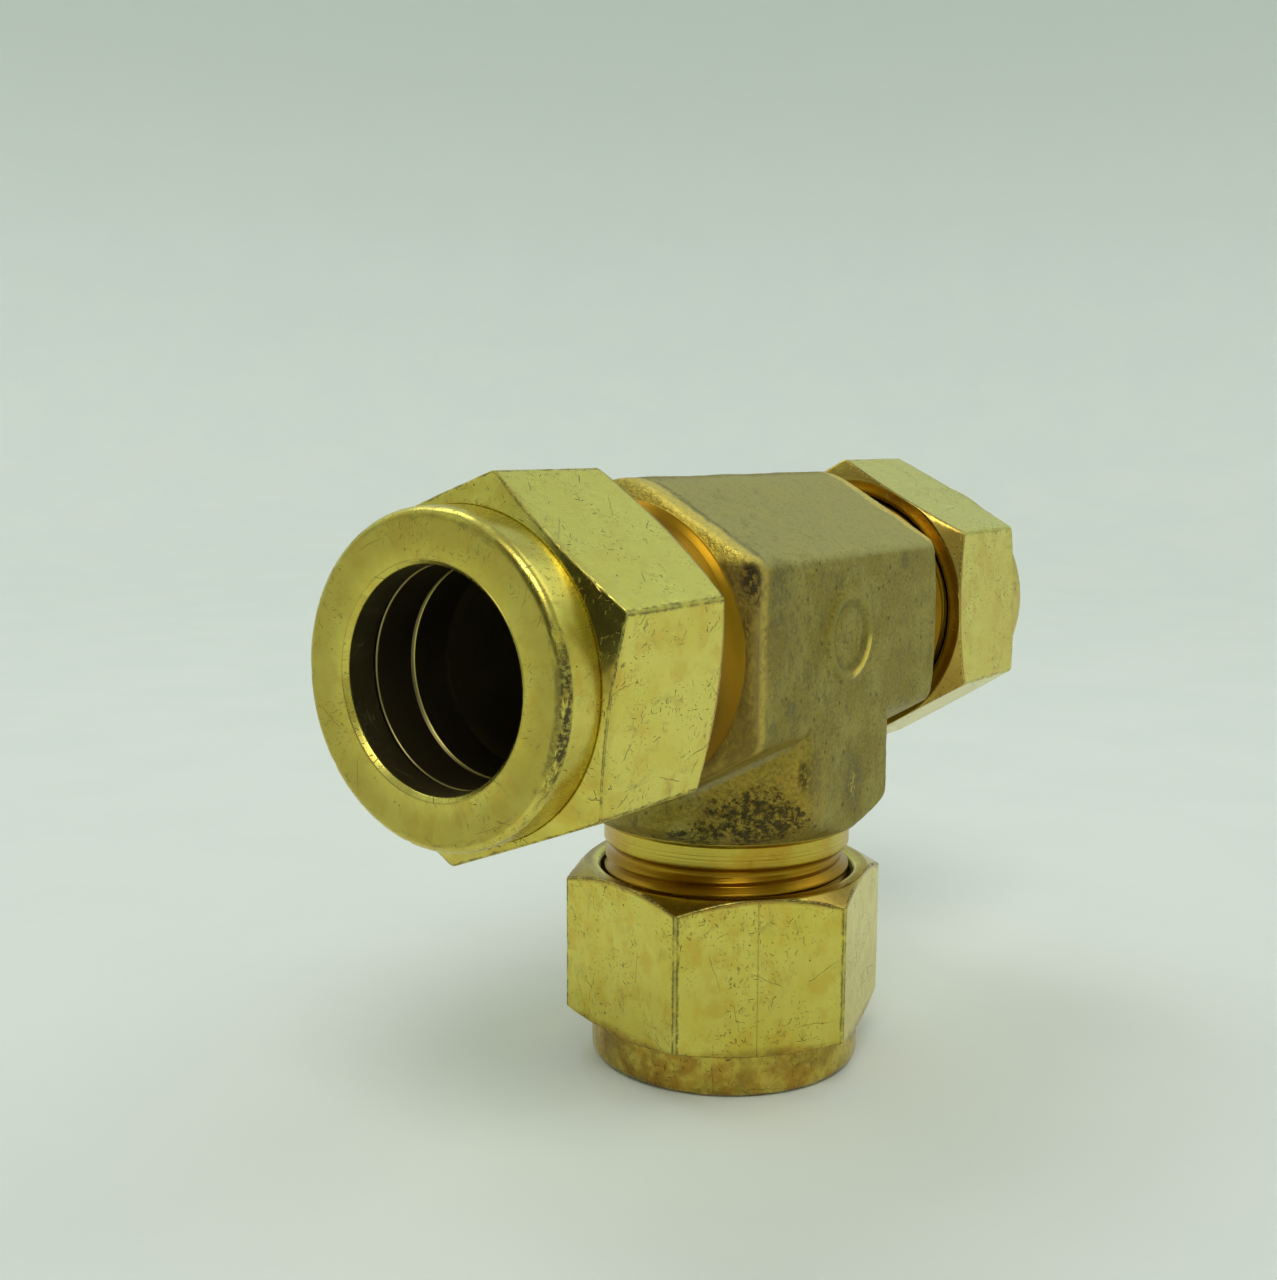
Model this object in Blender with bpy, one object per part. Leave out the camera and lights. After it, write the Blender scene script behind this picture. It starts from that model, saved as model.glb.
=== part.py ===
"""Brass union tee for 5/8 in tube: a compression fitting with a forged body and three tube nuts.

Each port holds a front and a back ferrule under a hexagonal nut that screws onto the body.
Metres, +Z up. The origin is the centre of the branch nut's end face, on which the tee stands.
The branch points down the Z axis, and the run lies along X.
"""

import math

import bmesh
import bpy
from mathutils import Matrix, Vector

MM = 0.001
INCH = 25.4 * MM

# Tube, thread and clearances
TUBE_OD = 5 / 8 * INCH
PITCH = INCH / 20
THREAD_ROOT_R = 10.30 * MM
THREAD_DEPTH = 0.74 * MM
THREAD_SHAPE = ((0.0, 0.0), (0.4, 1.0), (0.6, 1.0))  # (share of the pitch, share of the depth)
RUN_OUT = 0.6 * PITCH
GAP = 0.30 * MM  # between pieces that touch
THREAD_LEAD = 0.3 * MM  # chamfer at each end of the body's thread
MOUTH_LEAD = 0.1 * MM  # between the nut's inner cone and its thread

# Body
BODY_FLAT_R = 12.5 * MM  # centre to each flat of the forging's hexagon
RIDGE_ROUND = 6.0 * MM  # edges on the forging's parting plane
EDGE_ROUND = 1.6 * MM  # its other edges
NECK_R = 11.05 * MM
SOCKET_R = TUBE_OD / 2 + 0.13 * MM
PASSAGE_R = 0.25 * INCH
SEAT_SLOPE = math.tan(math.radians(20))
SEAT_MOUTH_R = 9.45 * MM
FORGING_R = 15.4 * MM  # clear of the forging's ridges
NECK_ROOT = 10 * MM  # where a neck's solid starts, inside the forging
BRANCH_ROOT = 0.5 * MM  # where the branch arm's solid starts, inside the run

# Stations along a port, from the tee's centre
SOCKET_FLOOR = 13.4 * MM
FORGING_END = 17.1 * MM
SHOULDER_END = 19.2 * MM
THREAD_START = 20.0 * MM
THREAD_END = 29.4 * MM
BODY_END = 30.0 * MM
NUT_FACE = 21.3 * MM
HEX_START = 22.4 * MM
NUT_THREAD_START = 21.8 * MM
NUT_THREAD_END = 29.8 * MM
CHAMBER_START = 30.4 * MM
HEX_END = 34.2 * MM
NUT_SHOULDER = 35.95 * MM
ROUND_START = 37.45 * MM
NUT_END = 38.8 * MM

# Nut
NUT_FLAT_R = 0.5 * INCH  # 1 in across flats
NUT_CORNER_R = NUT_FLAT_R / math.cos(math.radians(30))
NUT_MOUTH_R = 11.7 * MM
INNER_CHAMFER = math.tan(math.radians(30))
OUTER_CHAMFER = math.tan(math.radians(20))
NOSE_R = 12.1 * MM
FACE_R = 11.7 * MM
CHAMBER_R = 10.05 * MM
MOUTH_CHAMFER = 0.25 * MM
HEX_PAST = 0.5 * MM  # how far the blank's cones run past the hexagon's corners
CHAMBER_CHAMFER = 1.15 * MM
NOSE_STEPS = 4

# Ferrules
FERRULE_R = 9.7 * MM
FRONT_TIP = 27.9 * MM
FRONT_BACK = 32.8 * MM
RECESS_START = 31.6 * MM
RECESS_R = 9.2 * MM
BACK_TIP = 32.35 * MM
BACK_TIP_R = 8.36 * MM
BACK_CHAMFER = 0.92 * MM

SEGMENTS = 24
PAST = 1 * MM  # how far a cutter or a limit runs past the faces it cuts
SHARP_ANGLE = math.radians(32)
WELD = 1e-7
ON_CORNER = 1e-6
RIGHT_ANGLE = math.radians(90)
HEX_STEP = math.radians(60)
HALF_HEX_STEP = math.radians(30)
ORIGIN_TO_CENTRE = NUT_END  # the tee's centre stands this high above the origin

# Each port: its outward direction, the direction its angles are counted from, and the angle of one
# corner of its nut's hexagon, counted round the outward direction by the right-hand rule
PORTS = {
    "left": (Vector((-1, 0, 0)), Vector((0, -1, 0)), math.radians(21.4)),
    "right": (Vector((1, 0, 0)), Vector((0, -1, 0)), math.radians(-32.0)),
    "branch": (Vector((0, 0, -1)), Vector((1, 0, 0)), math.radians(-15.85)),
}


def clear_scene():
    for item in list(bpy.data.objects):
        bpy.data.objects.remove(item)


def brass(name, colour, roughness):
    material = bpy.data.materials.new(name)
    material.use_nodes = True
    shader = material.node_tree.nodes["Principled BSDF"]
    shader.inputs["Base Color"].default_value = (*colour, 1)
    shader.inputs["Metallic"].default_value = 1.0
    shader.inputs["Roughness"].default_value = roughness
    return material


def forged_brass():
    return brass("forged_brass", (0.46, 0.34, 0.13), 0.55)


def machined_brass():
    return brass("machined_brass", (0.78, 0.64, 0.24), 0.28)


def ferrule_brass():
    return brass("ferrule_brass", (0.80, 0.62, 0.26), 0.22)


def object_from(name, mesh):
    """A named object that holds this bmesh, shaded smooth between its sharp edges."""
    data = bpy.data.meshes.new(name)
    bmesh.ops.recalc_face_normals(mesh, faces=mesh.faces)
    mesh.to_mesh(data)
    mesh.free()
    data.shade_smooth()
    data.set_sharp_from_angle(angle=SHARP_ANGLE)
    item = bpy.data.objects.new(name, data)
    bpy.context.scene.collection.objects.link(item)
    return item


def turned(name, outline_at):
    """A shape turned about Z. outline_at(angle) is its closed outline there: (radius, height) points."""
    mesh = bmesh.new()
    columns = []
    for step in range(SEGMENTS + 1):
        angle = 2 * math.pi * step / SEGMENTS
        across = Vector((math.cos(angle), math.sin(angle), 0))
        columns.append([mesh.verts.new(across * r + Vector((0, 0, z))) for r, z in outline_at(angle)])
    for near, far in zip(columns, columns[1:]):
        for k, corner in enumerate(near):
            after = (k + 1) % len(near)
            mesh.faces.new((corner, far[k], far[after], near[after]))
    bmesh.ops.remove_doubles(mesh, verts=mesh.verts, dist=WELD)
    return object_from(name, mesh)


def thread_points(angle, start, end, root_r, end_height):
    """The thread's outline from start to end at this angle. It fades to end_height, a share, at both ends."""
    points = []
    for turn in range(int(start / PITCH) - 2, int(end / PITCH) + 2):
        for place, height in THREAD_SHAPE:
            z = (turn + place + angle / (2 * math.pi)) * PITCH
            z = min(max(z, start), end)
            fade = min(1, (z - start) / RUN_OUT, (end - z) / RUN_OUT)
            points.append((root_r + THREAD_DEPTH * (height * fade + end_height * (1 - fade)), z))
    return points


def hexagon(name, flat_r, start, end, corner_angle, rounds=()):
    """A hexagonal bar along Z. rounds holds a (radius, steps) pair for each of its six edges, or nothing."""
    mesh = bmesh.new()
    corner_r = flat_r / math.cos(HALF_HEX_STEP)
    made = bmesh.ops.create_cone(
        mesh, cap_ends=True, segments=6, radius1=corner_r, radius2=corner_r, depth=end - start
    )
    # Blender puts a cone's first corner on +Y
    turn = Matrix.Rotation(corner_angle - RIGHT_ANGLE, 3, "Z")
    bmesh.ops.rotate(mesh, verts=made["verts"], matrix=turn)
    bmesh.ops.translate(mesh, verts=made["verts"], vec=(0, 0, (start + end) / 2))
    for index, (radius, steps) in enumerate(rounds):
        corner = corner_angle + HEX_STEP * index
        out = Vector((math.cos(corner), math.sin(corner), 0))
        sides = [
            edge
            for edge in mesh.edges
            if all((Vector((v.co.x, v.co.y, 0)) - out * corner_r).length < ON_CORNER for v in edge.verts)
        ]
        bmesh.ops.bevel(
            mesh,
            geom=sides,
            offset=radius * math.tan(HALF_HEX_STEP),
            segments=steps,
            profile=0.5,
            affect="EDGES",
        )
    return object_from(name, mesh)


def combine(target, operation, tool):
    """A Boolean on target. The tool stays as a hidden helper."""
    modifier = target.modifiers.new(tool.name, "BOOLEAN")
    modifier.operation = operation
    modifier.solver = "EXACT"
    modifier.object = tool
    tool.hide_render = True
    tool.display_type = "WIRE"


def place(item, port):
    """Turns an item made along Z onto its port and parents it to the port's empty."""
    item.parent = bpy.data.objects["port_" + port]


def add_ports():
    """One empty at the tee's centre for each port, its Z along the port's outward axis."""
    for port, (outward, start, _) in PORTS.items():
        empty = bpy.data.objects.new("port_" + port, None)
        bpy.context.scene.collection.objects.link(empty)
        turn = Matrix((start, outward.cross(start), outward)).transposed()
        empty.matrix_world = Matrix.Translation((0, 0, ORIGIN_TO_CENTRE)) @ turn.to_4x4()


def forging_end_points():
    """The turned rounding that takes the hexagon down to the neck: (radius, height) points."""
    return [
        (FORGING_R, 13.3 * MM),
        (14.4 * MM, 14.5 * MM),
        (13.3 * MM, 15.6 * MM),
        (12.4 * MM, 16.4 * MM),
        (11.8 * MM, 16.9 * MM),
        (11.3 * MM, FORGING_END),
    ]


def forging_arm(name, port, both_ends):
    """One hexagonal arm of the forging. Two of its edges lie on the parting plane, y = 0."""
    end = forging_end_points()
    if both_ends:
        outline = [(0, FORGING_END), *[(r, z) for r, z in reversed(end)]]
        outline += [*[(r, -z) for r, z in end], (0, -FORGING_END)]
        start = -FORGING_END - PAST
    else:
        outline = [(0, FORGING_END), *[(r, z) for r, z in reversed(end)]]
        outline += [(FORGING_R, 0), (0, 0)]
        start = BRANCH_ROOT
    outward, zero, _ = PORTS[port]
    parting = RIGHT_ANGLE if port != "branch" else 0
    rounds = [(RIDGE_ROUND, 4), (EDGE_ROUND, 2), (EDGE_ROUND, 2)] * 2
    arm = hexagon(name, BODY_FLAT_R, start, FORGING_END + PAST, parting, rounds)
    limit = turned(name + "_limit", lambda _: outline)
    combine(arm, "INTERSECT", limit)
    place(arm, port)
    place(limit, port)
    return arm


def neck(port):
    """The turned, threaded end of an arm, solid."""

    def outline(angle):
        chamfered = [(THREAD_ROOT_R, BODY_END - THREAD_LEAD), (THREAD_ROOT_R - THREAD_LEAD, BODY_END)]
        return [
            (0, NECK_ROOT),
            (NECK_R, NECK_ROOT),
            (NECK_R, SHOULDER_END),
            (THREAD_ROOT_R, SHOULDER_END + THREAD_LEAD),
            *thread_points(angle, THREAD_START, THREAD_END, THREAD_ROOT_R, 0),
            *chamfered,
            (0, BODY_END),
        ]

    item = turned("neck_" + port, outline)
    place(item, port)
    return item


def port_bore(port):
    """What is cut out of an arm: the ferrule seat, the tube socket and the passage behind it."""
    seat_length = (SEAT_MOUTH_R - SOCKET_R) / SEAT_SLOPE
    outline = [
        (0, -PASSAGE_R / 2),
        (PASSAGE_R, -PASSAGE_R / 2),
        (PASSAGE_R, SOCKET_FLOOR),
        (SOCKET_R, SOCKET_FLOOR),
        (SOCKET_R, BODY_END - seat_length),
        (SEAT_MOUTH_R + PAST * SEAT_SLOPE, BODY_END + PAST),
        (0, BODY_END + PAST),
    ]
    item = turned("bore_" + port, lambda _: outline)
    place(item, port)
    return item


def tee_body(material):
    """The forging with its three necks, cut by its three bores."""
    body = forging_arm("tee_body", "right", both_ends=True)
    combine(body, "UNION", forging_arm("branch_arm", "branch", both_ends=False))
    for port in PORTS:
        combine(body, "UNION", neck(port))
    for port in PORTS:
        combine(body, "DIFFERENCE", port_bore(port))
    body.data.materials.append(material)


def nut_outline():
    """The outside of a nut's turned blank, from its inner face to its end face."""
    inner_drop = (HEX_START - NUT_FACE) / INNER_CHAMFER
    outer_start = HEX_END - HEX_PAST * OUTER_CHAMFER
    nose_base = HEX_END + (NUT_CORNER_R - NOSE_R) * OUTER_CHAMFER
    rounding = []
    for step in range(NOSE_STEPS + 1):
        angle = RIGHT_ANGLE * step / NOSE_STEPS
        radius = FACE_R + (NOSE_R - FACE_R) * math.cos(angle)
        rounding.append((radius, ROUND_START + (NUT_END - ROUND_START) * math.sin(angle)))
    return [
        (0, NUT_FACE),
        (NUT_CORNER_R - inner_drop, NUT_FACE),
        (NUT_CORNER_R + HEX_PAST, HEX_START + HEX_PAST * INNER_CHAMFER),
        (NUT_CORNER_R + HEX_PAST, outer_start),
        (NOSE_R, nose_base),
        *rounding,
        (0, NUT_END),
    ]


def nut_hollow(angle):
    """The nut's inside: thread, ferrule chamber, shoulder and tube bore."""
    thread_r = THREAD_ROOT_R + GAP
    groove_r = thread_r + THREAD_DEPTH
    return [
        (0, NUT_FACE - PAST),
        (NUT_MOUTH_R, NUT_FACE - PAST),
        (NUT_MOUTH_R, NUT_FACE),
        (groove_r, NUT_THREAD_START - MOUTH_LEAD),
        *thread_points(angle, NUT_THREAD_START, NUT_THREAD_END, thread_r, 1),
        (groove_r, CHAMBER_START),
        (CHAMBER_R, CHAMBER_START),
        (CHAMBER_R, NUT_SHOULDER - CHAMBER_CHAMFER),
        (CHAMBER_R - CHAMBER_CHAMFER, NUT_SHOULDER),
        (SOCKET_R, NUT_SHOULDER),
        (SOCKET_R, NUT_END - MOUTH_CHAMFER),
        (SOCKET_R + MOUTH_CHAMFER, NUT_END),
        (SOCKET_R + MOUTH_CHAMFER, NUT_END + PAST),
        (0, NUT_END + PAST),
    ]


def nut(port, material):
    name = "nut_" + port
    item = hexagon(name, NUT_FLAT_R, NUT_FACE - PAST, NUT_END + PAST, PORTS[port][2])
    blank = turned(name + "_blank", lambda _: nut_outline())
    hollow = turned(name + "_hollow", nut_hollow)
    combine(item, "INTERSECT", blank)
    combine(item, "DIFFERENCE", hollow)
    for piece in (item, blank, hollow):
        place(piece, port)
    item.data.materials.append(material)


def front_ferrule(port, material):
    """The cone that seals between the tube and the body's seat. Its back is hollowed for the back ferrule."""
    seat_start = BODY_END - (SEAT_MOUTH_R - SOCKET_R) / SEAT_SLOPE
    cone_start = seat_start + GAP / math.sin(math.atan(SEAT_SLOPE))
    tip_r = SOCKET_R + (FRONT_TIP - cone_start) * SEAT_SLOPE
    cone_end = cone_start + (FERRULE_R - SOCKET_R) / SEAT_SLOPE
    outline = [
        (SOCKET_R, FRONT_TIP),
        (tip_r, FRONT_TIP),
        (FERRULE_R, cone_end),
        (FERRULE_R, FRONT_BACK),
        (RECESS_R, FRONT_BACK),
        (SOCKET_R, RECESS_START),
    ]
    item = turned("front_ferrule_" + port, lambda _: outline)
    place(item, port)
    item.data.materials.append(material)


def back_ferrule(port, material):
    """The ring that grips the tube. The nut's shoulder pushes its back, and its nose enters the front ferrule."""
    back = NUT_SHOULDER - GAP
    slope = (FRONT_BACK - RECESS_START) / (RECESS_R - SOCKET_R)
    flange_start = BACK_TIP + (RECESS_R - BACK_TIP_R) * slope
    outline = [
        (SOCKET_R, BACK_TIP),
        (BACK_TIP_R, BACK_TIP),
        (RECESS_R, flange_start),
        (FERRULE_R, flange_start),
        (FERRULE_R, back - BACK_CHAMFER),
        (FERRULE_R - BACK_CHAMFER, back),
        (SOCKET_R, back),
    ]
    item = turned("back_ferrule_" + port, lambda _: outline)
    place(item, port)
    item.data.materials.append(material)


def build():
    clear_scene()
    add_ports()
    tee_body(forged_brass())
    nut_material = machined_brass()
    ferrule_material = ferrule_brass()
    for port in PORTS:
        nut(port, nut_material)
        front_ferrule(port, ferrule_material)
        back_ferrule(port, ferrule_material)


build()
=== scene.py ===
"""The looks of a brass union tee for 5/8 in tube: forged body, three tube nuts, and two ferrules a port.

Every piece is made along its port's own axis: Z runs outward from the tee's centre.
Lengths are in millimetres until a mesh is made, and in metres after that.
"""

import math

import bmesh
import bpy
import numpy as np
from mathutils import Matrix, Vector, noise


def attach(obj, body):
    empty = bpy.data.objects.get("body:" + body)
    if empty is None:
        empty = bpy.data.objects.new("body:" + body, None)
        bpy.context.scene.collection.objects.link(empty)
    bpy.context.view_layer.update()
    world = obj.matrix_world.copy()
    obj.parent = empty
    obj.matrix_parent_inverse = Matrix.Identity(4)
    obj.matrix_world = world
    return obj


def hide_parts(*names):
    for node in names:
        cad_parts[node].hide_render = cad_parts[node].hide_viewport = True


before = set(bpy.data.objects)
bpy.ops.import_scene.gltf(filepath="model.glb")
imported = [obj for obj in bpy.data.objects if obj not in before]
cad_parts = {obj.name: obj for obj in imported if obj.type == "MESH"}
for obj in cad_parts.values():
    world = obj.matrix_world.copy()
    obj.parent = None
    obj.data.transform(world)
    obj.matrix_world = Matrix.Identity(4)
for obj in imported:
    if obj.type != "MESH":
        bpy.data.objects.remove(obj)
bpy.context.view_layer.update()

MM = 0.001
CM = 0.01
FULL_TURN = 2 * math.pi
SHARP = math.radians(50)  # edges sharper than this aren't shaded smooth
WELD = 2e-7  # vertices closer than this, in metres, become one
FERRULE_COLUMNS, NECK_COLUMNS, BORE_COLUMNS = 128, 144, 96  # steps round each turned shape

# Thread and clearances. One turn's shape is (share of the pitch, share of the depth).
PITCH = 1.27
THREAD_ROOT_R = 10.30
THREAD_DEPTH = 0.74
THREAD_SHAPE = ((0.0, 0.0), (0.07, 0.08), (0.35, 0.92), (0.42, 1.0), (0.58, 1.0),
                (0.65, 0.92), (0.93, 0.08))
RUN_OUT = 0.6 * PITCH
GAP = 0.30

# Body
BODY_FLAT_R = 12.5
RIDGE_ROUND = 6.0
EDGE_ROUND = 1.5
NECK_R = 11.05
SPOT_FACE_R = 12.0  # the forging's end is machined out to here, round each neck
SOCKET_R = 8.0675
PASSAGE_R = 6.35
SEAT_SLOPE = math.tan(math.radians(20))
SEAT_MOUTH_R = 9.45
VOXEL = 0.24  # the forging is remeshed at this size, then smoothed this many times
SMOOTHINGS = 9

# Stations along a port, from the tee's centre
SOCKET_FLOOR = 13.4
FORGING_END = 17.1
SHOULDER_END = 19.2
THREAD_START = 20.0
THREAD_END = 29.4
BODY_END = 30.0
NUT_FACE = 21.3
HEX_START = 22.4
NUT_THREAD_START = 21.8
NUT_THREAD_END = 29.8
CHAMBER_START = 30.4
HEX_END = 34.2
NUT_SHOULDER = 35.95
NUT_END = 38.8
SEAT_START = BODY_END - (SEAT_MOUTH_R - SOCKET_R) / SEAT_SLOPE

# The rounding from the forging's hexagon down to each neck, (r, z), longer on the branch
RUN_END = ((15.6, 14.9), (14.7, 15.6), (13.4, 16.15), (12.4, 16.5), (11.8, 16.6), (11.3, 16.7))
BRANCH_END = ((15.4, 13.3), (14.4, 14.5), (13.3, 15.6), (12.4, 16.4), (11.8, 16.9), (11.3, FORGING_END))
# The machined face round each neck, (r, z), which flares into the neck on the run
RUN_FACE = ((SPOT_FACE_R, 16.8), (11.9, 16.95), (11.6, 17.2), (11.35, 17.6), (11.15, 18.2),
            (NECK_R, 18.8))
BRANCH_FACE = ((SPOT_FACE_R, 16.78), (11.9, 16.9), (11.3, 17.13), (11.12, 17.22), (NECK_R, 17.4))

# The forging's surface
ROUGHNESS = ((0.07, 0.22, 3), (0.035, 0.7, 4), (0.016, 2.2, 5))  # height, features a millimetre, seed
ROUGHNESS_STOP = FORGING_END - 0.6  # it fades out before the machined faces
RING_CENTRE = (-0.8, 0.3)  # the cast mark on the near flat, x and z from the tee's centre
RINGS = ((3.45, 0.40, 0.34), (1.9, 0.45, 0.12))  # radius, half width, height
DISH_R, DISH_DEPTH = 3.2, 0.07  # the hollow inside the rings

# Nut
NUT_FLAT_R = 12.7
NUT_CORNER_R = NUT_FLAT_R / math.cos(math.radians(30))
NUT_MOUTH_R = 11.7
INNER_CHAMFER = math.tan(math.radians(30))
OUTER_CHAMFER = math.tan(math.radians(20))
NOSE_R = 12.1
NOSE_ROUND = 0.85
CHAMBER_R = 10.05
CHAMBER_CHAMFER = 1.15
MOUTH_CHAMFER = 0.42
TURNED_ROUND = 0.14  # the rounding of its turned edges
CORNER_ROUND, CORNER_WEAR = 0.34, 0.22  # the rounding between flats, and how much more where it is worn
ARC_ROUND, ARC_WEAR = 0.22, 0.12  # the same where the flats meet the chamfers
CORNER_REACH, ARC_REACH = 0.8, 0.45  # how far from those edges knocks reach
NICK_DEPTH = 0.2
DENT_DEPTH = 0.12

# Ferrules
FERRULE_R = 9.7
FRONT_TIP = 27.9
FRONT_BACK = 32.8
RECESS_START = 31.6
RECESS_R = 9.2
BACK_TIP = 31.94
BACK_TIP_R = 8.2
BACK_CHAMFER = 0.92

# Each port: outward direction, the direction its angles start from, one corner of its nut's hexagon
PORTS = {
    "left": (Vector((-1, 0, 0)), Vector((0, -1, 0)), math.radians(21.4)),
    "right": (Vector((1, 0, 0)), Vector((0, -1, 0)), math.radians(-32.0)),
    "branch": (Vector((0, 0, -1)), Vector((1, 0, 0)), math.radians(-15.85)),
}
CENTRE = Vector((0, 0, NUT_END * MM))


# ---- meshes


def port_matrix(port):
    outward, start, _ = PORTS[port]
    turn = Matrix((start, outward.cross(start), outward)).transposed()
    return Matrix.Translation(CENTRE) @ turn.to_4x4()


def rounded(points, radius, steps=4):
    """The closed outline, (r, z, step) points, with each corner turned into a small curve."""
    flat = [Vector(p[:2]) for p in points]
    out = []
    for k, corner in enumerate(flat):
        before, after = flat[k - 1] - corner, flat[(k + 1) % len(flat)] - corner
        cut = min(radius, 0.4 * before.length, 0.4 * after.length)
        if cut < 0.01:
            out.append((*corner, points[k][2]))
            continue
        first = corner + before.normalized() * cut
        last = corner + after.normalized() * cut
        for step in range(steps + 1):
            t = step / steps
            point = first * (1 - t) ** 2 + corner * 2 * t * (1 - t) + last * t * t
            out.append((*point, points[k][2]))
    return out


def divided(points):
    """Cuts the closed outline's stretches into steps. Its points are (r, z, longest step)."""
    out = []
    for k, (r, z, step) in enumerate(points):
        r_next, z_next, _ = points[(k + 1) % len(points)]
        count = max(1, math.ceil(math.hypot(r_next - r, z_next - z) / step))
        for n in range(count):
            t = n / count
            out.append((r + (r_next - r) * t, z + (z_next - z) * t))
    return out


def thread_points(angle, start, end, root_r, end_height):
    """The thread's outline at this angle. It fades to end_height, a share of its depth, at both ends."""
    points = []
    for turn in range(int(start / PITCH) - 2, int(end / PITCH) + 2):
        for place, height in THREAD_SHAPE:
            z = (turn + place + angle / FULL_TURN) * PITCH
            z = min(max(z, start), end)
            fade = max(0, min(1, (z - start) / RUN_OUT, (end - z) / RUN_OUT))
            points.append((root_r + THREAD_DEPTH * (height * fade + end_height * (1 - fade)), z))
    return points


def even_angles(count):
    """Angles round a full turn, both ends included."""
    return np.arange(count + 1) * FULL_TURN / count


def shade(mesh):
    mesh.shade_smooth()
    mesh.set_sharp_from_angle(angle=SHARP)


def ring_mesh(name, radii, heights, angles, around=None, attributes=()):
    """A closed shape turned about Z from radii[column, row] and heights[column, row], in millimetres.

    The last column lies a full turn from the first, a pitch further on along a thread, and is welded to
    it. around gives each column's distance round the surface."""
    columns, rows = radii.shape
    across = np.stack([np.cos(angles), np.sin(angles)], axis=-1)[:, None, :] * radii[..., None]
    points = np.concatenate([across, heights[..., None]], axis=-1).reshape(-1, 3) * MM
    i, j = np.meshgrid(np.arange(columns - 1), np.arange(rows), indexing="ij")
    j_next = (j + 1) % rows
    faces = np.stack([i * rows + j, (i + 1) * rows + j, (i + 1) * rows + j_next, i * rows + j_next], -1)
    faces = faces.reshape(-1, 4)
    if around is None:
        around = angles * NOSE_R
    r_steps = np.diff(radii[0], append=radii[0, :1])
    z_steps = np.diff(heights[0], append=heights[0, :1])
    along = np.concatenate([[0], np.cumsum(np.hypot(r_steps, z_steps))])
    u = np.stack([around[i], around[i + 1], around[i + 1], around[i]], -1).reshape(-1)
    v = np.stack([along[j], along[j], along[j + 1], along[j + 1]], -1).reshape(-1)
    corner = points[faces]
    volume = np.einsum("ij,ij->", np.cross(corner[:, 0], corner[:, 1]), corner[:, 2])
    volume += np.einsum("ij,ij->", np.cross(corner[:, 0], corner[:, 2]), corner[:, 3])
    mesh = bpy.data.meshes.new(name)
    if volume < 0:
        faces, u, v = (x.reshape(-1, 4)[:, ::-1] for x in (faces, u, v))
    mesh.from_pydata(points.tolist(), [], faces.tolist())
    layer = mesh.uv_layers.new(name="surface_mm")
    uv = np.stack([u.reshape(-1), v.reshape(-1)], -1).reshape(-1)
    layer.data.foreach_set("uv", uv.astype(np.float32))
    for label, values in attributes:
        attribute = mesh.attributes.new(label, "FLOAT", "POINT")
        attribute.data.foreach_set("value", values.reshape(-1).astype(np.float32))
    work = bmesh.new()
    work.from_mesh(mesh)
    bmesh.ops.remove_doubles(work, verts=work.verts, dist=WELD)
    work.to_mesh(mesh)
    work.free()
    shade(mesh)
    return mesh


def turned(name, outline_at, count):
    angles = even_angles(count)
    outlines = np.array([outline_at(angle) for angle in angles])
    return ring_mesh(name, outlines[..., 0], outlines[..., 1], angles)


def placed(name, data, matrix):
    item = bpy.data.objects.new(name, data)
    item.matrix_world = matrix
    bpy.context.scene.collection.objects.link(item)
    return item


def piece(name, mesh, matrix, material):
    mesh.materials.append(material)
    return placed(name, mesh, matrix)


def noise_at(points, scale, seed):
    """Perlin noise at each of the points, in millimetres, with features about 1 / scale long."""
    shift = Vector((seed * 7.3, seed * 3.1, seed * 5.7))
    flat = points.reshape(-1, 3) * scale
    values = [noise.noise(Vector(p) + shift) for p in flat]
    return np.array(values).reshape(points.shape[:-1])


def soft_min(a, b, width):
    h = np.clip(1 - np.abs(a - b) / width, 0, 1)
    return np.minimum(a, b) - h * h * width / 4


# ---- nuts


def nut_outline():
    """The turned blank and its hollow up to the thread, as (r, z) points."""
    drop = (HEX_START - NUT_FACE) / INNER_CHAMFER
    past = 0.5  # the blank reaches this far beyond the hexagon's corners
    nose_base = HEX_END + (NUT_CORNER_R - NOSE_R) * OUTER_CHAMFER
    groove_r = THREAD_ROOT_R + GAP + THREAD_DEPTH
    nose = []
    steps = 12
    for step in range(steps + 1):
        angle = FULL_TURN / 4 * step / steps
        r = NOSE_R - NOSE_ROUND * (1 - math.cos(angle))
        nose.append((r, NUT_END - NOSE_ROUND * (1 - math.sin(angle)), 0.3))
    outside = [
        (groove_r, NUT_THREAD_START - 0.1, 0.3),
        (NUT_MOUTH_R, NUT_FACE, 0.2),
        (NUT_CORNER_R - drop, NUT_FACE, 0.07),
        (NUT_CORNER_R + past, HEX_START + past * INNER_CHAMFER, 0.35),
        (NUT_CORNER_R + past, HEX_END - past * OUTER_CHAMFER, 0.07),
        (NOSE_R, nose_base, 0.3),
    ]
    inside = [
        (SOCKET_R + MOUTH_CHAMFER, NUT_END, 0.1),
        (SOCKET_R, NUT_END - MOUTH_CHAMFER, 0.5),
        (SOCKET_R, NUT_SHOULDER, 0.3),
        (CHAMBER_R - CHAMBER_CHAMFER, NUT_SHOULDER, 0.3),
        (CHAMBER_R, NUT_SHOULDER - CHAMBER_CHAMFER, 0.6),
        (CHAMBER_R, CHAMBER_START, 0.4),
        (groove_r, CHAMBER_START, 0.4),
    ]
    return divided([*rounded(outside, TURNED_ROUND), *nose, *rounded(inside, 0.1)])


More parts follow.
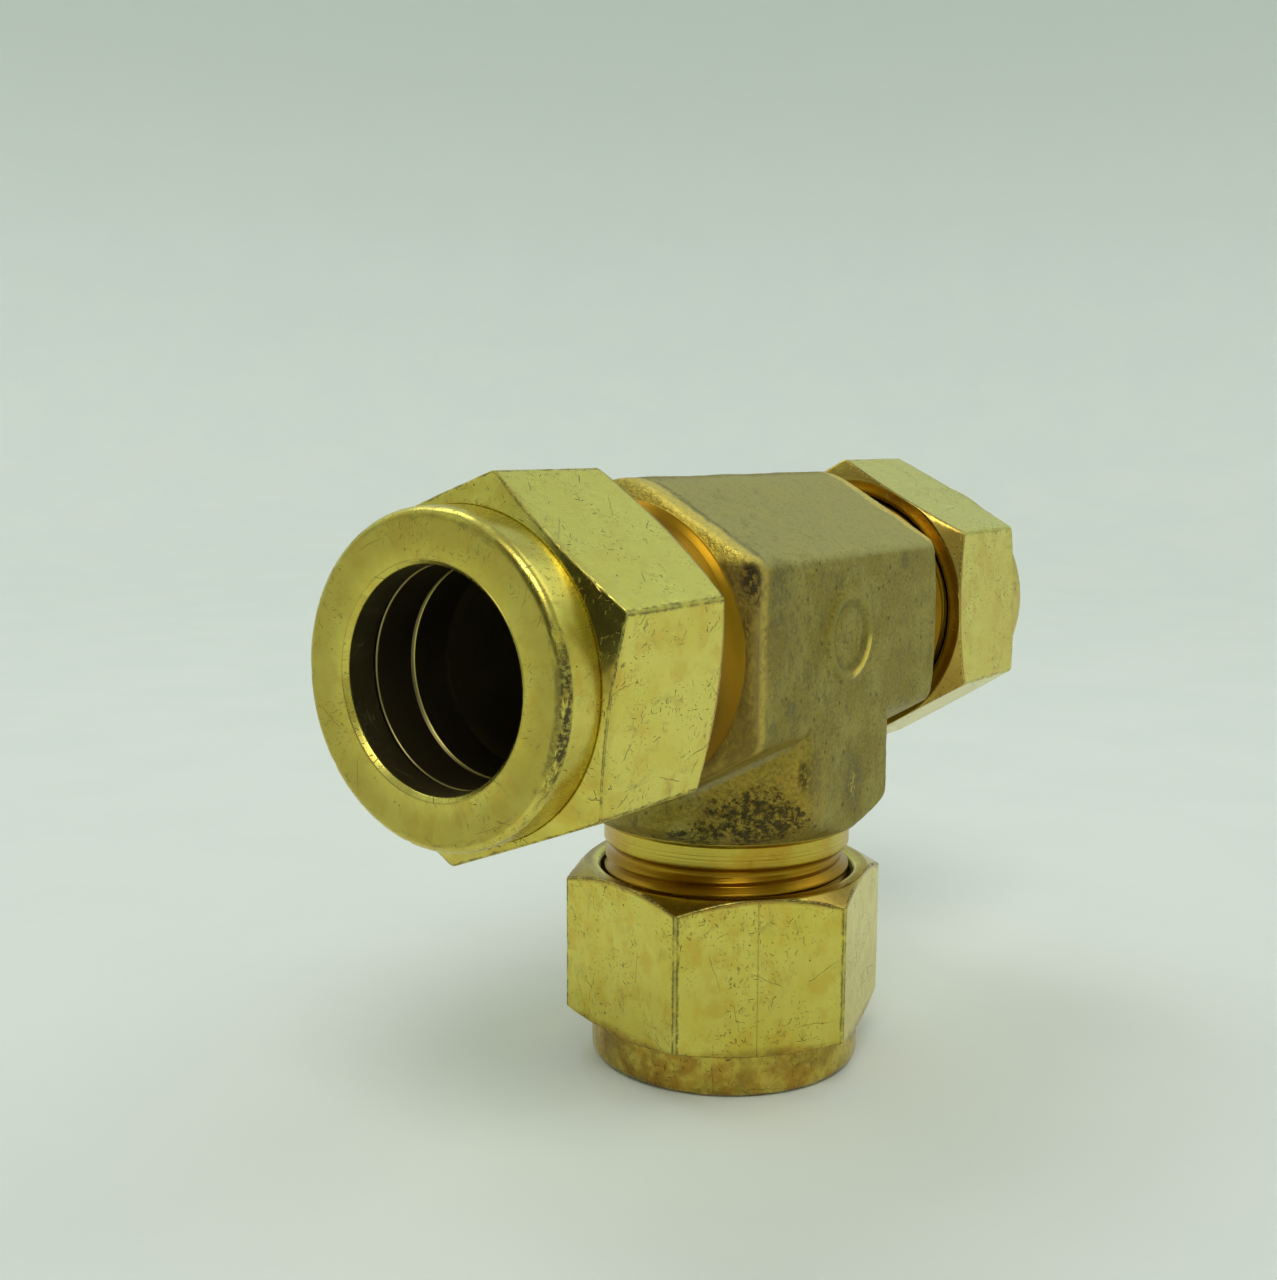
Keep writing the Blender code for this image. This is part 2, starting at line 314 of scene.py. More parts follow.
def hex_columns(corner, per_side=34, crowding=0.86):
    """Angles round a hexagon, crowded towards its corners, and each one's angle from its flat's middle.

    Both ends of the full turn are included."""
    share = np.arange(per_side) / per_side
    within = math.radians(60) * (share - crowding * np.sin(FULL_TURN * share) / FULL_TURN)
    angles = np.concatenate([corner + math.radians(60) * side + within for side in range(6)])
    off_middle = np.tile(within - math.radians(30), 6)
    return np.append(angles, angles[0] + FULL_TURN), np.append(off_middle, off_middle[0])


def nut_mesh(port, seed):
    """A nut: its turned blank cut by the hexagon, its thread, and the wear on its edges."""
    angles, off_middle = hex_columns(PORTS[port][2])
    blank = np.array(nut_outline())
    thread_r = THREAD_ROOT_R + GAP
    thread = [thread_points(a, NUT_THREAD_START, NUT_THREAD_END, thread_r, 1)[::-1] for a in angles]
    outlines = np.concatenate([np.tile(blank, (len(angles), 1, 1)), np.array(thread)], axis=1)
    radii, heights = outlines[..., 0], outlines[..., 1]

    near = NUT_FLAT_R / np.cos(off_middle)
    beside = NUT_FLAT_R / np.cos(math.radians(60) - np.abs(off_middle))
    points = np.stack([np.cos(angles)[:, None] * radii, np.sin(angles)[:, None] * radii, heights], -1)
    coarse = noise_at(points, 0.8, seed)
    fine = noise_at(points, 2.6, seed + 1)
    corner_width = CORNER_ROUND + CORNER_WEAR * np.clip(coarse, 0, 1)
    hexagon = soft_min(near[:, None], beside[:, None], corner_width)
    arc_width = ARC_ROUND + ARC_WEAR * coarse
    outside = radii > NUT_FLAT_R - 1.5
    shaped = np.where(outside, soft_min(radii, hexagon, arc_width), radii)

    # Small nicks where the hexagon's edges have knocked against things
    on_corner = np.clip(1 - np.abs(near - beside) / CORNER_REACH, 0, 1)[:, None]
    on_corner = on_corner * (radii > hexagon + 0.1)
    on_arc = np.clip(1 - np.abs(radii - hexagon) / ARC_REACH, 0, 1) * outside
    edge = np.maximum(on_corner, on_arc)
    nicks = np.clip(fine + 0.6 * coarse - 0.25, 0, 1)
    shaped = shaped - edge * nicks * NICK_DEPTH
    # The worn rounding at the nose is uneven
    worn = np.clip((heights - NUT_END + NOSE_ROUND) / 0.3, 0, 1)
    worn = worn * np.clip((radii - NOSE_R + NOSE_ROUND + 0.35) / 0.4, 0, 1)
    dent = worn * np.clip(noise_at(points, 1.7, seed + 2), 0, 1) ** 2 * DENT_DEPTH
    shaped = shaped - dent
    heights = heights - dent * 0.6

    side = np.arange(len(angles)) * 6 // (len(angles) - 1)
    flat_width = 2 * NUT_FLAT_R * math.tan(math.radians(30))
    around = side * flat_width + NUT_FLAT_R * (np.tan(off_middle) + math.tan(math.radians(30)))
    milled = np.clip((radii - hexagon - 0.1) / 0.1, 0, 1)
    attributes = (("edge", edge), ("nose", worn), ("milled", milled))
    return ring_mesh("hex_nut_" + port, shaped, heights, angles, around, attributes)


# ---- ferrules


def front_ferrule_mesh(port):
    """A cone that lies in the body's seat, dished at its back for the other ferrule's tip."""
    cone_start = SEAT_START + GAP / math.sin(math.atan(SEAT_SLOPE))
    tip_r = SOCKET_R + (FRONT_TIP - cone_start) * SEAT_SLOPE
    cone_end = cone_start + (FERRULE_R - SOCKET_R) / SEAT_SLOPE
    outline = [
        (SOCKET_R, FRONT_TIP, 0.4),
        (tip_r, FRONT_TIP, 0.4),
        (FERRULE_R, cone_end, 0.4),
        (FERRULE_R, FRONT_BACK, 0.2),
        (RECESS_R, FRONT_BACK, 0.2),
        (SOCKET_R + 0.07, RECESS_START + 0.06, 0.1),
        (SOCKET_R, RECESS_START, 0.4),
    ]
    points = divided(rounded(outline, 0.1))
    return turned("ferrule_front_" + port, lambda _: points, FERRULE_COLUMNS)


def back_ferrule_mesh(port):
    """A flange whose tip reaches under the front ferrule."""
    back = NUT_SHOULDER - GAP
    slope = (FRONT_BACK - RECESS_START) / (RECESS_R - SOCKET_R)
    flange = BACK_TIP + (RECESS_R - BACK_TIP_R) * slope
    outline = [
        (SOCKET_R, BACK_TIP + 0.08, 0.1),
        (SOCKET_R + 0.1, BACK_TIP, 0.2),
        (BACK_TIP_R, BACK_TIP, 0.2),
        (RECESS_R, flange, 0.2),
        (FERRULE_R, flange, 0.3),
        (FERRULE_R, back - BACK_CHAMFER, 0.2),
        (FERRULE_R - BACK_CHAMFER, back, 0.2),
        (SOCKET_R + 0.10, back, 0.1),
        (SOCKET_R, back - 0.10, 0.4),
    ]
    points = divided(rounded(outline, 0.08))
    return turned("ferrule_back_" + port, lambda _: points, FERRULE_COLUMNS)


# ---- body


def hexagonal_bar(start, end, corner):
    """A hexagonal bar along Z with rounded edges. The two on the forging's parting plane are rounder."""
    outline = []
    steps = 8
    for index in range(6):
        radius = RIDGE_ROUND if index % 3 == 0 else EDGE_ROUND
        middle = corner + math.radians(60 * index)
        reach = (BODY_FLAT_R - radius) / math.cos(math.radians(30))
        for step in range(steps + 1):
            angle = middle + math.radians(-30 + 60 * step / steps)
            x = reach * math.cos(middle) + radius * math.cos(angle)
            y = reach * math.sin(middle) + radius * math.sin(angle)
            outline.append((x, y))
    points = [(x * MM, y * MM, z * MM) for z in (start, end) for x, y in outline]
    low = range(len(outline))
    high = range(len(outline), len(points))
    sides = [(low[k - 1], low[k], high[k], high[k - 1]) for k in low]
    mesh = bpy.data.meshes.new("bar")
    mesh.from_pydata(points, [], [low[::-1], high, *sides])
    return mesh


def baked(item):
    """Applies the item's modifiers and returns its new mesh."""
    bpy.context.view_layer.update()
    graph = bpy.context.evaluated_depsgraph_get()
    mesh = bpy.data.meshes.new_from_object(item.evaluated_get(graph))
    item.modifiers.clear()
    item.data = mesh
    return mesh


def combine(target, operation, tool):
    modifier = target.modifiers.new(operation, "BOOLEAN")
    modifier.operation = operation
    modifier.solver = "MANIFOLD"
    modifier.object = tool
    baked(target)
    bpy.data.objects.remove(tool)


def to_centre(port):
    """A port's frame as seen from the tee's centre."""
    return Matrix.Translation(-CENTRE) @ port_matrix(port)


def forging_arm(port):
    """The branch's hexagonal bar, or on a run port the whole run's, with its ends rounded down."""
    if port == "branch":
        corner, start = 0, 0.5
        outline = [(0, FORGING_END), *BRANCH_END[::-1], (BRANCH_END[0][0], 0), (0, 0)]
    else:
        corner, start = math.radians(90), -FORGING_END - 1
        other_end = [(r, -z) for r, z in RUN_END]
        outline = [(0, RUN_END[-1][1]), *RUN_END[::-1], *other_end, (0, -RUN_END[-1][1])]
    arm = placed("arm", hexagonal_bar(start, FORGING_END + 1, corner), to_centre(port))
    limit = turned("limit", lambda _: outline, BORE_COLUMNS)
    combine(arm, "INTERSECT", placed("limit", limit, to_centre(port)))
    return arm


def machined_face(port):
    return BRANCH_FACE if port == "branch" else RUN_FACE


def neck_mesh(port):
    """A port's machined face, plain shoulder and thread, from well inside the forging outwards."""
    start = [(0, 10), (SPOT_FACE_R, 10), *machined_face(port)]
    shoulder = [(NECK_R, SHOULDER_END - 0.25), (NECK_R - 0.1, SHOULDER_END - 0.08)]
    shoulder.append((NECK_R - 0.28, SHOULDER_END))
    foot = [(THREAD_ROOT_R + 0.12, SHOULDER_END + 0.22), (THREAD_ROOT_R, SHOULDER_END + 0.45)]
    end = [(THREAD_ROOT_R, BODY_END - 0.3), (THREAD_ROOT_R - 0.3, BODY_END), (0, BODY_END)]

    def outline(angle):
        thread = thread_points(angle, THREAD_START, THREAD_END, THREAD_ROOT_R, 0)
        return [*start, *shoulder, *foot, *thread, *end]

    return turned("neck", outline, NECK_COLUMNS)


def port_bore():
    """The hollow of one port: passage, tube socket and tapered seat, a little longer than the port."""
    outline = [
        (0, -PASSAGE_R / 2),
        (PASSAGE_R, -PASSAGE_R / 2),
        (PASSAGE_R, SOCKET_FLOOR),
        (SOCKET_R, SOCKET_FLOOR),
        (SOCKET_R, SEAT_START),
        (SEAT_MOUTH_R + SEAT_SLOPE, BODY_END + 1),
        (0, BODY_END + 1),
    ]
    return turned("bore", lambda _: outline, BORE_COLUMNS)


def vectors(items, key):
    values = np.empty(len(items) * 3, np.float32)
    items.foreach_get(key, values)
    return values.reshape(-1, 3)


def roughen(mesh):
    """The forging's unevenness and the cast ring on its near flat, in the mesh itself."""
    points = vectors(mesh.vertices, "co") / MM
    normals = vectors(mesh.vertices, "normal")
    lift = sum(height * noise_at(points, scale, seed) for height, scale, seed in ROUGHNESS)
    from_ring = np.hypot(points[:, 0] - RING_CENTRE[0], points[:, 2] - RING_CENTRE[1])
    on_flat = points[:, 1] < 1 - BODY_FLAT_R
    for radius, width, height in RINGS:
        lift += on_flat * height * np.exp(-(((from_ring - radius) / width) ** 2))
    lift -= on_flat * DISH_DEPTH * np.clip((DISH_R - from_ring) / 0.6, 0, 1)
    for outward, _, _ in PORTS.values():
        along = points @ np.array(outward)
        lift *= np.clip((ROUGHNESS_STOP - along) / 0.5, 0, 1)
    points = (points + normals * lift[:, None]) * MM
    mesh.vertices.foreach_set("co", points.reshape(-1).astype(np.float32))
    mesh.update()


def add_body(forged, machined):
    """Joins, remeshes and roughens the forging first, so that the necks and bores stay true."""
    body = forging_arm("right")
    combine(body, "UNION", forging_arm("branch"))
    body.data.transform(body.matrix_world)
    body.matrix_world = Matrix.Identity(4)
    remesh = body.modifiers.new("remesh", "REMESH")
    remesh.mode = "VOXEL"
    remesh.voxel_size = VOXEL * MM
    smooth = body.modifiers.new("smooth", "SMOOTH")
    smooth.factor = 0.5
    smooth.iterations = SMOOTHINGS
    roughen(baked(body))
    for port in PORTS:
        combine(body, "UNION", placed("neck", neck_mesh(port), to_centre(port)))
    for port in PORTS:
        combine(body, "DIFFERENCE", placed("bore", port_bore(), to_centre(port)))
    mesh = body.data
    mesh.name = "tee_forging"
    mesh.materials.clear()
    mesh.materials.append(forged)
    mesh.materials.append(machined)
    mark_machined(mesh)
    shade(mesh)
    bpy.data.objects.remove(body)
    return placed("tee_forging", mesh, Matrix.Translation(CENTRE))


def mark_machined(mesh):
    """Gives the necks and the bores the machined finish, the second material."""
    centres = vectors(mesh.polygons, "center") / MM
    machined = np.zeros(len(centres), bool)
    for port, (outward, _, _) in PORTS.items():
        axis = np.array(outward)
        along = centres @ axis
        radius = np.linalg.norm(centres - along[:, None] * axis, axis=1)
        face_r, face_z = np.array(machined_face(port)[::-1]).T
        machined |= (along > np.interp(radius, face_r, face_z) - 0.03) & (radius < SPOT_FACE_R + 0.03)
        machined |= (along > SOCKET_FLOOR - 0.1) & (radius < SEAT_MOUTH_R)
        machined |= (along > 0) & (radius < PASSAGE_R + 0.02)
    mesh.polygons.foreach_set("material_index", machined.astype(np.int32))
    mesh.update()


# ---- materials


class Paint:
    """One material's nodes, built with calls that read like a formula."""

    def __init__(self, name):
        self.material = bpy.data.materials.new(name)
        self.material.use_nodes = True
        self.tree = self.material.node_tree
        self.shader = self.tree.nodes["Principled BSDF"]

    def node(self, kind, inputs, **settings):
        node = self.tree.nodes.new("ShaderNode" + kind)
        for key, value in settings.items():
            setattr(node, key, value)
        for key, value in inputs.items():
            self.put(node.inputs[key], value)
        return node

    def put(self, socket, value):
        if isinstance(value, bpy.types.NodeSocket):
            self.tree.links.new(value, socket)
        else:
            socket.default_value = value

    def math(self, operation, a, b=0.0, c=0.0):
        return self.node("Math", {0: a, 1: b, 2: c}, operation=operation).outputs[0]

    def plus(self, a, b):
        return self.math("ADD", a, b)

    def minus(self, a, b):
        return self.math("SUBTRACT", a, b)

    def scaled(self, value, factor, shift):
        """value * factor + shift."""
        return self.math("MULTIPLY_ADD", value, factor, shift)

    def above(self, value, limit):
        """1 where value is more than limit, and 0 elsewhere."""
        return self.math("GREATER_THAN", value, limit)

    def times(self, *values):
        result = values[0]
        for value in values[1:]:
            result = self.math("MULTIPLY", result, value)
        return result

    def most(self, *values):
        result = values[0]
        for value in values[1:]:
            result = self.math("MAXIMUM", result, value)
        return result

    def hypot(self, a, b):
        return self.math("SQRT", self.plus(self.times(a, a), self.times(b, b)))

    def ramp(self, value, low, high, to_low=0.0, to_high=1.0):
        inputs = {0: value, 1: low, 2: high, 3: to_low, 4: to_high}
        return self.node("MapRange", inputs, interpolation_type="SMOOTHSTEP").outputs[0]

    def band(self, value, middle, outer, inner):
        """1 where value is within inner of the middle, falling to 0 at outer from it."""
        return self.ramp(self.math("ABSOLUTE", self.minus(value, middle)), outer, inner)

    def mix(self, share, a, b):
        return self.node("Mix", {0: share, 6: a, 7: b}, data_type="RGBA").outputs[2]

    def vector(self, operation, a, b=(0, 0, 0)):
        node = self.node("VectorMath", {0: a}, operation=operation)
        self.put(node.inputs["Scale" if operation == "SCALE" else 1], b)
        return node.outputs["Value" if operation in ("LENGTH", "DOT_PRODUCT") else 0]

    def shifted(self, vector, x, y):
        return self.vector("ADD", vector, (x, y, 0.0))

    def stretched(self, vector, x, y, z=1.0):
        return self.vector("MULTIPLY", vector, (x, y, z))

    def parts(self, vector):
        return self.node("SeparateXYZ", {0: vector}).outputs[:3]

    def join(self, x, y, z):
        return self.node("CombineXYZ", {0: x, 1: y, 2: z}).outputs[0]

    def noise(self, vector, scale, detail=3.0, rough=0.55, twist=0.0):
        inputs = {"Vector": vector, "Scale": scale, "Detail": detail, "Roughness": rough}
        inputs["Distortion"] = twist
        return self.node("TexNoise", inputs).outputs[0]

    def place(self, unit=MM):
        """The object's own coordinates, in this unit."""
        return self.vector("SCALE", self.node("TexCoord", {}).outputs["Object"], 1 / unit)

    def surface(self, shift):
        """Distances along the surface, in millimetres."""
        uv = self.node("UVMap", {}, uv_map="surface_mm").outputs[0]
        return self.shifted(uv, shift * 37.0, shift * 11.0)

    def attribute(self, name):
        return self.node("Attribute", {}, attribute_name=name).outputs["Fac"]

    def near(self, place, centre, reach, strength=1.0):
        """strength around a point, falling to 0 at the ellipsoid with these half axes."""
        off = self.vector("SUBTRACT", place, centre)
        off = self.stretched(off, *[1 / r for r in reach])
        return self.ramp(self.vector("LENGTH", off), 1.0, 0.35, 0.0, strength)

    def patches(self, place, patches):
        """The strongest of several soft patches, each with its centre, half axes and strength."""
        return self.most(*[self.near(place, *patch) for patch in patches])

    def cells(self, vector, size):
        """Voronoi cells, and three random numbers for each."""
        inputs = {"Vector": vector, "Scale": 1 / size}
        cells = self.node("TexVoronoi", inputs, voronoi_dimensions="2D").outputs
        return cells, self.parts(cells["Color"])

    def dashes(self, uv, cell, length, width, share, turn=None):
        """Short scratches, at most one a cell, in a share of the cells.

        Each lies its own way. With a turn, each lies between that angle and half a radian more."""
        cells, picks = self.cells(uv, cell)
        spread, first = (FULL_TURN, 0.0) if turn is None else (0.5, turn)
        inputs = {"Vector": self.vector("SUBTRACT", uv, cells["Position"])}
        inputs["Angle"] = self.scaled(picks[0], spread, first)
        turned_off = self.node("VectorRotate", inputs, rotation_type="Z_AXIS").outputs[0]
        along, across = self.parts(turned_off)[:2]
        along = self.times(self.math("ABSOLUTE", along), 1 / length)
        across = self.times(self.math("ABSOLUTE", across), 1 / width)
        dash = self.ramp(self.most(along, across), 1.0, 0.5)
        return self.times(dash, self.above(picks[1], 1 - share))

    def spots(self, uv, cell, radius, share):
        """Small dark spots of many sizes, at most one a cell, in a share of the cells."""
        cells, picks = self.cells(uv, cell)
        size = self.scaled(picks[2], radius / cell, radius / cell * 0.25)
        away = self.math("DIVIDE", cells["Distance"], size)
        return self.times(self.ramp(away, 1.0, 0.4), self.above(picks[1], 1 - share))

    def bump(self, height, strength, distance, normal=None):
        inputs = {"Height": height, "Strength": strength, "Distance": distance * MM}
        if normal is not None:
            inputs["Normal"] = normal
        return self.node("Bump", inputs).outputs[0]

    def finish(self, colour, roughness, metallic, normal):
        values = {"Base Color": colour, "Roughness": roughness, "Metallic": metallic, "Normal": normal}
        for name, value in values.items():
            self.put(self.shader.inputs[name], value)
        return self.material


BRASS = (0.700, 0.594, 0.097, 1)
BRASS_DULL_SHADED = (0.365, 0.294, 0.052, 1)
BRASS_PALE = (0.735, 0.650, 0.131, 1)
BRASS_WARM = (0.64, 0.43, 0.055, 1)
TOP_FACE_LIGHT = (0.98, 0.94, 0.22, 1)
AMBER = (0.40, 0.215, 0.03, 1)
ORANGE = (0.40, 0.25, 0.045, 1)
NUT_REFLECTION_ORANGE = (0.37, 0.195, 0.010, 1)
NECK_UNDERSIDE_SHADE = (0.10, 0.050, 0.008, 1)
TARNISH = (0.059, 0.045, 0.017, 1)
BORE_SHADE = (0.23, 0.190, 0.085, 1)
FERRULE_SHADE = (0.24, 0.18, 0.09, 1)
FORGED = (0.300, 0.232, 0.034, 1)
FORGED_PALE = (0.39, 0.325, 0.078, 1)
FORGED_DARK = (0.15, 0.125, 0.040, 1)
FORGED_BROWN = (0.19, 0.115, 0.022, 1)
FORGED_TOP = (0.53, 0.485, 0.185, 1)
FORGED_GRAIN = (0.50, 0.39, 0.09, 1)
FORGED_TAN = (0.54, 0.38, 0.055, 1)
RUN_END_TAN = (0.40, 0.27, 0.045, 1)
RUN_EDGE_TAN = (0.60, 0.44, 0.08, 1)
CREASE_SKY_REFLECTION = (0.36, 0.33, 0.21, 1)
SAND_BLACK = (0.035, 0.028, 0.014, 1)
WORN_GOLD = (0.97, 0.74, 0.13, 1)
BORE_SHADE_SHARE = 0.96  # how fully the painted shade covers the brass inside the bores

NOSE_DARK_SIDE = ((11.7, -1.5, 38.0), (3.4, 8.0, 2.0))  # the side of each nose where the darker patches are strongest


def nut_tone(p, place, z, radius, foot, amber, up):
    """Slow changes of colour, painted light on the faces that look up, amber stains towards the nose,
    and orange on the inner chamfer.
    """
    slow = p.noise(place, 0.22, 2.0)
    tone = p.mix(p.ramp(slow, 0.35, 0.65), BRASS, BRASS_PALE)
    tone = p.mix(p.times(p.ramp(p.noise(place, 0.5, 3.0), 0.48, 0.66), 0.5), tone, BRASS_WARM)
    # Painted light: faces that look up get a pale tint, as if lit from above
    facing = p.vector("DOT_PRODUCT", p.node("TexCoord", {}).outputs["Normal"], up)
    tone = p.mix(p.ramp(facing, 0.2, 0.8, 0.0, 0.5), tone, TOP_FACE_LIGHT)
    stain = p.ramp(p.noise(place, 0.42, 4.0, 0.6), 0.42, 0.62)
    stain = p.times(p.scaled(foot, 0.75, 0.12), p.scaled(stain, 0.6, 0.4), amber)
    tone = p.mix(stain, tone, AMBER)
    grime = p.ramp(p.noise(place, 0.35, 5.0, 0.6), 0.44, 0.60)
    tone = p.mix(p.times(foot, grime, amber, 0.5), tone, FORGED_BROWN)
    inner = p.plus(z, p.times(p.minus(NUT_CORNER_R, radius), 0.5))
    inner = p.ramp(inner, HEX_START + 0.35, HEX_START + 0.05)
    return p.mix(p.times(inner, p.ramp(slow, 0.3, 0.6, 0.6, 0.95)), tone, ORANGE)


def nut_marks(p, place, uv, bent):
    """Dashes, scratches and nicks in clusters, and spots."""
    cluster = p.ramp(p.noise(place, 0.30, 3.0), 0.43, 0.58)
    short = p.dashes(bent, 0.95, 0.30, 0.036, 0.40)
    fine = p.dashes(p.shifted(bent, 5.0, 3.0), 0.50, 0.17, 0.024, 0.55)
    long = p.dashes(p.shifted(bent, 9.0, 1.0), 4.0, 1.9, 0.034, 0.30)
    streak = p.dashes(p.shifted(bent, 2.0, 8.0), 3.0, 0.8, 0.045, 0.16, turn=0.5)
    spots = p.spots(p.shifted(uv, 4.0, 6.0), 1.9, 0.12, 0.26)
    nicked = p.ramp(p.noise(p.stretched(bent, 1.0, 0.5), 1.9, 6.0, 0.7), 0.615, 0.66)
    clustered = p.most(short, p.times(fine, 0.95), p.times(nicked, 0.65))
    scattered = p.most(p.times(long, 0.7), p.times(streak, 0.8), p.times(spots, 0.8))
    return p.most(p.times(clustered, cluster), scattered)


def nut_grime(p, place, uv, ragged, edges, milled, line):
    """Smudges, tarnish in the edges, darker patches round the nose, and the faint line from drawing the
    bar.
    """
    smudge = p.noise(p.stretched(uv, 1.0, 0.55), 0.75, 5.0, 0.62, 0.6)
    smudge = p.ramp(smudge, 0.54, 0.72, 0.0, 0.20)
    broken = p.ramp(p.noise(place, 0.9, 5.0, 0.65), 0.36, 0.58, 0.12, 1.0)
    edge_dirt = p.ramp(ragged, 0.90 - edges * 0.45, 1.05 - edges * 0.30)
    edge_dirt = p.times(edge_dirt, broken, 0.50 + 0.35 * edges)
    dark_side = p.near(p.place(), *NOSE_DARK_SIDE)
    drawn_out = p.noise(p.stretched(uv, 0.40, 1.5), 1.0, 6.0, 0.7)
    nose_darkening = p.ramp(p.scaled(dark_side, 0.20, drawn_out), 0.54, 0.64)
    nose_darkening = p.times(nose_darkening, p.ramp(p.noise(place, 3.0, 4.0, 0.65), 0.60, 0.46, 0.45, 1.0))
    on_nose = p.ramp(p.attribute("nose"), 0.2, 0.9)
    nose_darkening = p.times(on_nose, nose_darkening, p.scaled(dark_side, 0.45, 0.5))
    round_hexagon = p.parts(p.surface(0))[0]
    seam = p.times(p.band(round_hexagon, line, 0.09, 0.03), milled, 0.35)
    return p.most(smudge, edge_dirt, nose_darkening, seam)


def nut_brass(name, seed, amber, wear, edges, line, up):
    """Brass bar, milled to a hexagon and turned at both ends, with handling marks.

    amber, wear and edges, how dark the hexagon's edges are, are from 0 to 1.
    line is the distance round the hexagon to a faint drawing line, in millimetres.
    up is the direction, in the nut's own frame, of the faces that get painted light from above."""
    p = Paint(name)
    place = p.shifted(p.place(), seed * 13.0, 0.0)
    x, y, z = p.parts(p.place())
    radius = p.hypot(x, y)
    uv = p.surface(seed)
    wobble = p.node("TexNoise", {"Vector": place, "Scale": 1.6, "Detail": 2.0}).outputs["Color"]
    bent = p.vector("ADD", uv, p.vector("SCALE", wobble, 0.35))
    foot = p.ramp(z, HEX_END - 0.4, HEX_END + 0.6)
    milled, edge = p.attribute("milled"), p.attribute("edge")
    ragged = p.scaled(p.noise(place, 2.4, 4.0, 0.65), 0.7, p.minus(edge, 0.35))

    tone = nut_tone(p, place, z, radius, foot, amber, up)
    marks = nut_marks(p, place, uv, bent)
    dirt = p.times(p.most(marks, nut_grime(p, place, uv, ragged, edges, milled, line)), wear)
    tone = p.mix(dirt, tone, TARNISH)
    bared = p.times(p.ramp(edge, 0.80, 0.93), p.ramp(ragged, 1.15, 0.85, 0.1, 0.75))
    tone = p.mix(bared, tone, BRASS_PALE)

    # Inside, painted shade. The bore's mouth stays bright, and the end face is a little dull and also
    # painted darker for the dark surroundings it reflects.
    mouth = NUT_END - MOUTH_CHAMFER
    bore = p.times(p.ramp(radius, SOCKET_R + 0.14, SOCKET_R + 0.04), p.ramp(z, mouth, mouth - 0.1))
    hollow = p.ramp(radius, NUT_MOUTH_R - 0.1, NUT_MOUTH_R - 0.5)
    hollow = p.times(hollow, p.ramp(z, NUT_SHOULDER + 0.1, NUT_SHOULDER - 0.1))
    dark = p.most(bore, hollow)
    tone = p.mix(p.times(dark, BORE_SHADE_SHARE), tone, BORE_SHADE)
    # The end face is a little dull, and painted darker for the dark surroundings it reflects
    face = p.ramp(z, NUT_END - 0.12, NUT_END - 0.03)
    tone = p.mix(p.times(face, 0.6), tone, BRASS_DULL_SHADED)

    # Roughness and relief: drawn grain on the flats, turning rings on the face and the nose
    grain = p.times(milled, p.noise(p.stretched(bent, 2.6, 0.30), 1.2, 4.0, 0.6))
    nose_side = p.times(foot, p.ramp(radius, NOSE_R + 0.15, NOSE_R + 0.05))
    rough = p.scaled(p.ramp(grain, 0.3, 0.7), 0.07, 0.21)
    for share, added in ((dirt, 0.25), (dark, 0.18), (face, 0.05), (nose_side, 0.06)):
        rough = p.scaled(share, added, rough)
    rings = p.noise(p.join(radius, z, 0.3), 9.0, 2.0)
    dented = p.times(p.attribute("nose"), p.noise(place, 4.0, 4.0))
    relief = p.times(grain, 0.06)
    for height, share in ((marks, -1.0), (rings, 0.12), (dented, 0.8)):
        relief = p.scaled(height, share, relief)
    normal = p.bump(p.noise(place, 0.30, 2.0), 0.35, 0.12)
    normal = p.bump(relief, 0.6, 0.020, normal)
    metallic = p.minus(1.0, p.times(dirt, 0.35))
    return p.finish(tone, rough, metallic, normal)


def neck_brass():
    """The necks' turned brass: polished shoulders and thread, with painted shade in the bores."""
    p = Paint("neck_brass")
    place = p.place()
    bored, stations = [], []
    for outward, _, _ in PORTS.values():
        along = p.vector("DOT_PRODUCT", place, tuple(outward))
        off_axis = p.vector("SUBTRACT", place, p.vector("SCALE", tuple(outward), along))
        within = p.ramp(p.vector("LENGTH", off_axis), SEAT_MOUTH_R + 0.3, SEAT_MOUTH_R + 0.15)
        bored.append(p.times(within, p.above(along, 1.0)))
        stations.append(along)
    inside = p.most(*bored)
    station = p.most(*stations)

    tone = p.mix(p.ramp(p.noise(place, 0.25, 3.0), 0.4, 0.62), BRASS, BRASS_WARM)
    film = p.ramp(p.noise(p.stretched(place, 1.0, 1.0, 1.6), 0.6, 5.0, 0.6, 0.8), 0.54, 0.70)
    tone = p.mix(p.times(film, 0.40), tone, AMBER)
    x, _, z = p.parts(place)
    on_run = p.above(p.math("ABSOLUTE", x), SOCKET_FLOOR)
    # Painted reflection: past the shoulder, and all along the run's necks, deep orange stands for the
    # nut's brass reflected in them
    past_shoulder = p.ramp(station, SHOULDER_END - 0.1, SHOULDER_END + 0.3, 0.25, 0.95)
    tone = p.mix(p.most(past_shoulder, on_run), tone, NUT_REFLECTION_ORANGE)
    # Painted shade: the run's necks darken towards their undersides
    shaded_underside = p.times(on_run, p.ramp(z, 5.0, -6.0, 0.0, 0.55))
    tone = p.mix(shaded_underside, tone, NECK_UNDERSIDE_SHADE)
    # Painted shade inside the bores
    tone = p.mix(p.times(inside, BORE_SHADE_SHARE), tone, BORE_SHADE)

    rings = p.noise(p.join(station, 0.0, 0.0), 5.5, 3.0, 0.7)
    rough = p.scaled(inside, 0.2, p.scaled(rings, 0.14, 0.22))
    return p.finish(tone, rough, 1.0, p.bump(rings, 0.7, 0.07))


# The ferrules' edges that catch the light, left out of the painted shade: radius, station, shine
BRIGHT_EDGES = (
    (SOCKET_R + 0.05, NUT_SHOULDER - GAP - 0.05, 0.22),
    (SOCKET_R + 0.04, RECESS_START + 0.03, 0.6),
)


